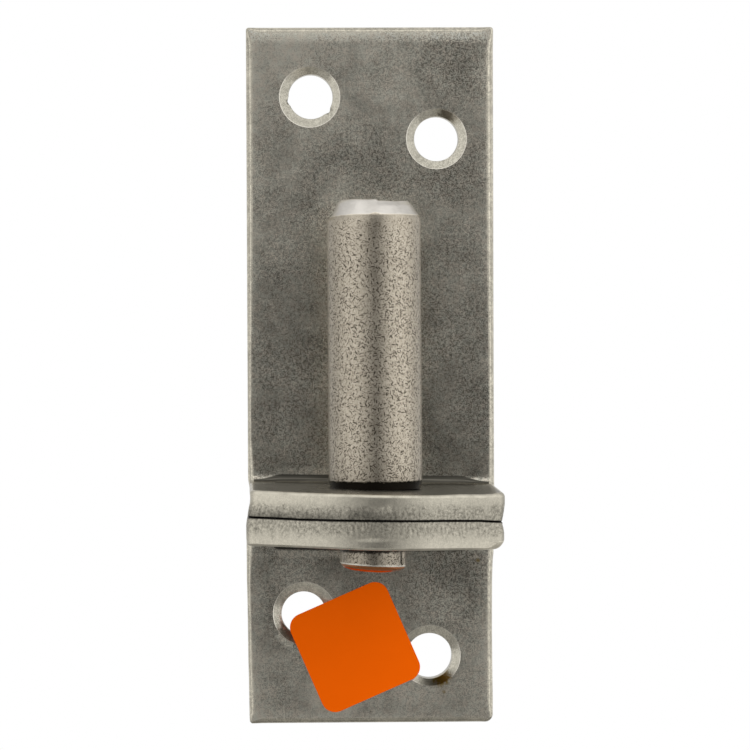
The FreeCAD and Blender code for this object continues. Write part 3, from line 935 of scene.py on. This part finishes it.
# Fleck marks: short black dashes lying every way, left in the bar's skin by pickling.
fleck_marks, fleck_in = new_group("fleck_marks", {"Place": None, "Cell": 0.6, "Length": 0.45, "Width": 0.1,
                                                  "Share": 0.7}, "Mark")
cell_scale = calculate(fleck_marks, "DIVIDE", 1.0, fleck_in["Cell"])
scaled = scaled_colour(fleck_marks, cell_scale, fleck_in["Place"])
cells = add(fleck_marks, "ShaderNodeTexVoronoi", {"Vector": scaled, "Scale": 1.0, "Randomness": 1.0},
            voronoi_dimensions="2D")
away = vector_step(fleck_marks, "SUBTRACT", scaled, cells.outputs["Position"])
chance = add(fleck_marks, "ShaderNodeSeparateColor", {0: cells.outputs["Color"]}).outputs
turned = add(fleck_marks, "ShaderNodeVectorRotate",
             {"Vector": away, "Angle": times(fleck_marks, chance[0], 2 * math.pi)}, rotation_type="Z_AXIS")
turned = add(fleck_marks, "ShaderNodeSeparateXYZ", {0: turned.outputs[0]}).outputs
reach = times(fleck_marks, fleck_in["Length"], times_plus(fleck_marks, chance[1], 0.45, 0.2))
girth = times(fleck_marks, fleck_in["Width"], times_plus(fleck_marks, chance[2], 0.3, 0.35))
along_mark = calculate(fleck_marks, "DIVIDE", times(fleck_marks, turned[0], fleck_in["Cell"]), reach)
over_mark = calculate(fleck_marks, "DIVIDE", times(fleck_marks, turned[1], fleck_in["Cell"]), girth)
squared_off = calculate(fleck_marks, "POWER", calculate(fleck_marks, "ABSOLUTE", along_mark), 4.0)
spread = calculate(fleck_marks, "ADD", squared_off, times(fleck_marks, over_mark, over_mark))
lottery = times_plus(fleck_marks, chance[1], 7.31, times(fleck_marks, chance[0], 3.7))
lottery = calculate(fleck_marks, "FRACT", lottery)
present = calculate(fleck_marks, "LESS_THAN", lottery, fleck_in["Share"])
mark = times(fleck_marks, between(fleck_marks, spread, 1.5, 0.5), present)
add(fleck_marks, "NodeGroupOutput", {"Mark": mark})

pin_light = (0.53, 0.482, 0.404, 1.0)
pin_shade = (0.32, 0.285, 0.23, 1.0)
soot_and_shadow_black = (0.028, 0.024, 0.020, 1.0)
fleck_black = (0.045, 0.036, 0.026, 1.0)
ground_shade = (0.58, 0.56, 0.53, 1.0)
ground_light = (0.76, 0.735, 0.70, 1.0)
ground_edge = (0.86, 0.80, 0.66, 1.0)
label_reflection_brown = (0.33, 0.115, 0.035, 1.0)
stain_gold = (0.40, 0.27, 0.05, 1.0)
golden_spot = ((6.3, -1.6, 0.35), 0.16)

pin_steel, tree, place = new_material("pin_steel")
surface = add(tree, "ShaderNodeUVMap", uv_map="surface_mm").outputs["UV"]
parts = add(tree, "ShaderNodeSeparateXYZ", {0: place})
across, height = parts.outputs["X"], parts.outputs["Z"]
ground = surface_value(tree, "ground")

# The skin: tumbled grain under two sizes of fleck marks. The larger thin out towards the top.
wander = add(tree, "ShaderNodeTexNoise", {"Vector": surface, "Scale": 2.2, "Detail": 1.0},
             noise_dimensions="2D").outputs["Color"]
wander = vector_step(tree, "MULTIPLY", wander, (0.22, 0.22, 0.0))
bent_place = vector_step(tree, "ADD", surface, wander)
shifted = vector_step(tree, "ADD", bent_place, (31.7, 12.9, 0.0))
grain = use_group(tree, tumbled_grain, {"Place": place, "Speck": 0.16, "Contrast": 0.8})
cloud = use_group(tree, clouding, {"Place": place, "Patch": 3.5, "Contrast": 0.5})
crowding = times_plus(tree, cloud, 0.5, 0.45)
fading = times(tree, times_plus(tree, between(tree, height, 37.0, 31.0), 0.7, 0.3),
               between(tree, height, 37.3, 36.6))
big = use_group(tree, fleck_marks, {"Place": bent_place, "Cell": 0.56, "Length": 0.60, "Width": 0.14,
                                    "Share": times(tree, crowding, fading)})
small_share = times(tree, crowding, between(tree, height, 37.6, 36.8))
small = use_group(tree, fleck_marks, {"Place": shifted, "Cell": 0.33, "Length": 0.37, "Width": 0.11,
                                      "Share": small_share})
marks = calculate(tree, "MAXIMUM", big, times(tree, small, 0.7))
marks = times(tree, marks, remainder(tree, ground))
tone = clamped(tree, times_plus(tree, cloud, 0.45, times(tree, grain, 0.75)))
colour = mix_colour(tree, tone, pin_shade, pin_light)
colour = mix_colour(tree, times(tree, marks, 0.9), colour, fleck_black)

# The ground chamfer: scratched aslant, with a painted highlight to the left of its middle, and a light edge.
scratch_place = add(tree, "ShaderNodeMapping", {"Vector": surface, "Scale": (0.35, 1.0, 1.0),
                                                "Rotation": (0.0, 0.0, 0.5)}).outputs[0]
scratch = times_plus(tree, noise_at(tree, place, 1.6), 0.7,
                     times(tree, noise_at(tree, scratch_place, 0.3, 3.0, 0.6), 0.3))
# Painted highlight: a lighter patch on the chamfer to the left of its middle.
chamfer_highlight = times(tree, between(tree, across, -0.9, -2.4), between(tree, across, -5.0, -3.9))
polish_and_highlight = times_plus(tree, between(tree, scratch, 0.36, 0.62), 0.52, 0.04)
polish_and_highlight = times_plus(tree, chamfer_highlight, 0.5, polish_and_highlight)
colour = mix_colour(tree, ground, colour, mix_colour(tree, polish_and_highlight, ground_shade, ground_light))
edge_line = times(tree, between(tree, ground, 0.1, 0.4), between(tree, ground, 1.0, 0.8), 0.6)
colour = mix_colour(tree, edge_line, colour, ground_edge)

# Soot round the foot, painted shadow on the tail just under the lower flange, the tail's rim with a
# painted highlight, and its end painted orange-brown as the label's reflection.
ragged_height = times_plus(tree, noise_at(tree, place, 0.5, 3.0), 0.7,
                           calculate(tree, "SUBTRACT", height, 0.35))
# Soot on the foot, and painted shadow on the tail's top just under the lower flange.
foot_soot_and_tail_shadow = times(tree, between(tree, ragged_height, 1.3, 0.98), between(tree, ragged_height, -8.96, -8.56))
soot_and_shadow = calculate(tree, "MAXIMUM", foot_soot_and_tail_shadow, between(tree, surface_value(tree, "soot_and_shadow"), 0.3, 0.7))
tail_height = times_plus(tree, across, tail_rim_slope, height)
tail_level = times_plus(tree, between(tree, height, -7.0, -8.0), -0.25, 1.0)
colour = scaled_colour(tree, tail_level, colour)
# Painted highlight: a bright line along the tail's rim.
tail_rim_highlight = times(tree, between(tree, tail_height, tail_rim - 0.05, tail_rim + 0.05),
                 between(tree, tail_height, tail_rim + 0.26, tail_rim + 0.14), 0.7)
colour = mix_colour(tree, tail_rim_highlight, colour, highlight_steel)
# Painted reflection: the tail's end is made orange-brown like the label it mirrors.
tail_end = between(tree, tail_height, tail_rim, tail_rim - 0.08)
colour = mix_colour(tree, times(tree, tail_end, 0.92), colour, label_reflection_brown)
colour = mix_colour(tree, soot_and_shadow, colour, soot_and_shadow_black)
golden = stain(tree, place, *golden_spot)
colour = mix_colour(tree, times(tree, golden, 0.8), colour, stain_gold)
roughness = times_plus(tree, cloud, 0.08, 0.27)
roughness = times_plus(tree, tail_end, -0.18, roughness)
relief = calculate(tree, "SUBTRACT", times(tree, grain, 0.7), times(tree, marks, 1.6))
show_steel(tree, colour, roughness, relief)

mesh.materials.append(pin_steel)
pin = new_object("hinge_pin_steel", mesh)
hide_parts("hinge_pin")
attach(pin, "root")


# Label. A plain orange adhesive square, stuck askew on the short leg over the inner edges of
# its two screw holes. It is blank.
label_side = 15.0
label_corner = 2.0
label_thickness = 0.09
label_corner_steps = 12
label_centre = Vector((-2.42, leg_front, -23.25))
label_turn = math.radians(23.5)
label_orange_light = (0.74, 0.105, 0.0015, 1.0)
label_orange_shade = (0.69, 0.096, 0.001, 1.0)
label_worn = (0.8, 0.35, 0.15, 1.0)
worn_spot = ((-1.9, leg_front, -18.6), 0.1)

label_sheet = bpy.data.node_groups.new("label_sheet", "GeometryNodeTree")
label_inputs = {}
for title, kind in (("Side", "Float"), ("Corner", "Float"), ("Thickness", "Float"), ("Finish", "Material")):
    label_inputs[title] = label_sheet.interface.new_socket(title, in_out="INPUT",
                                                           socket_type="NodeSocket" + kind)
label_sheet.interface.new_socket("Sheet", in_out="OUTPUT", socket_type="NodeSocketGeometry")
sheet_in = add(label_sheet, "NodeGroupInput").outputs
square = add(label_sheet, "GeometryNodeCurvePrimitiveQuadrilateral",
             {"Width": sheet_in["Side"], "Height": sheet_in["Side"]}).outputs["Curve"]
rounded = add(label_sheet, "GeometryNodeFilletCurve",
              {"Curve": square, "Count": label_corner_steps, "Radius": sheet_in["Corner"]},
              mode="POLY").outputs["Curve"]
blank = add(label_sheet, "GeometryNodeFillCurve", {"Curve": rounded}, mode="NGONS").outputs["Mesh"]
raised = add(label_sheet, "GeometryNodeExtrudeMesh",
             {"Mesh": blank, "Offset Scale": sheet_in["Thickness"], "Individual": False}).outputs["Mesh"]
glued_side = add(label_sheet, "GeometryNodeFlipFaces", {"Mesh": blank}).outputs["Mesh"]
both_sides = add(label_sheet, "GeometryNodeJoinGeometry")
for side_mesh in (raised, glued_side):
    label_sheet.links.new(side_mesh, both_sides.inputs[0])
welded = add(label_sheet, "GeometryNodeMergeByDistance",
             {"Geometry": both_sides.outputs[0], "Distance": 0.001 * MM}).outputs[0]
upright = add(label_sheet, "GeometryNodeTransform",
              {"Geometry": welded, "Rotation": (math.radians(90), 0.0, 0.0)}).outputs[0]
stuck = add(label_sheet, "GeometryNodeTransform",
            {"Geometry": upright, "Rotation": (0.0, -label_turn, 0.0),
             "Translation": label_centre * MM}).outputs[0]
realized = add(label_sheet, "GeometryNodeRealizeInstances", {"Geometry": stuck}).outputs[0]
finished = add(label_sheet, "GeometryNodeSetMaterial", {"Geometry": realized, "Material": sheet_in["Finish"]})
add(label_sheet, "NodeGroupOutput", {"Sheet": finished.outputs[0]})

label_orange, tree, place = new_material("label_orange")
colour = mix_colour(tree, noise_at(tree, place, 5.0, 3.0), label_orange_shade, label_orange_light)
# Painted light: the label is made lighter towards the right.
rightward = add(tree, "ShaderNodeSeparateXYZ", {0: place}).outputs["X"]
colour = scaled_colour(tree, times_plus(tree, rightward, 0.009, 1.06), colour)
worn = stain(tree, place, *worn_spot)
colour = mix_colour(tree, times(tree, worn, 0.6), colour, label_worn)
bump = add(tree, "ShaderNodeBump", {"Height": noise_at(tree, place, 0.3, 3.0), "Strength": 0.1,
                                    "Distance": 0.02 * MM})
film = add(tree, "ShaderNodeBsdfPrincipled", {"Base Color": colour, "Roughness": 0.5,
                                              "Specular IOR Level": 0.0, "Normal": bump.outputs[0]})
add(tree, "ShaderNodeOutputMaterial", {"Surface": film.outputs[0]})

label = new_object("label", bpy.data.meshes.new("label_start"))
making = label.modifiers.new("making", "NODES")
making.node_group = label_sheet
making[label_inputs["Side"].identifier] = label_side * MM
making[label_inputs["Corner"].identifier] = label_corner * MM
making[label_inputs["Thickness"].identifier] = label_thickness * MM
making[label_inputs["Finish"].identifier] = label_orange
made_label = label.evaluated_get(bpy.context.evaluated_depsgraph_get())
mesh = bpy.data.meshes.new_from_object(made_label)
label.modifiers.remove(making)
label.data = mesh
mesh.name = "label"
mesh.shade_smooth()
mesh.set_sharp_from_angle(angle=math.radians(30))
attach(label, "root")
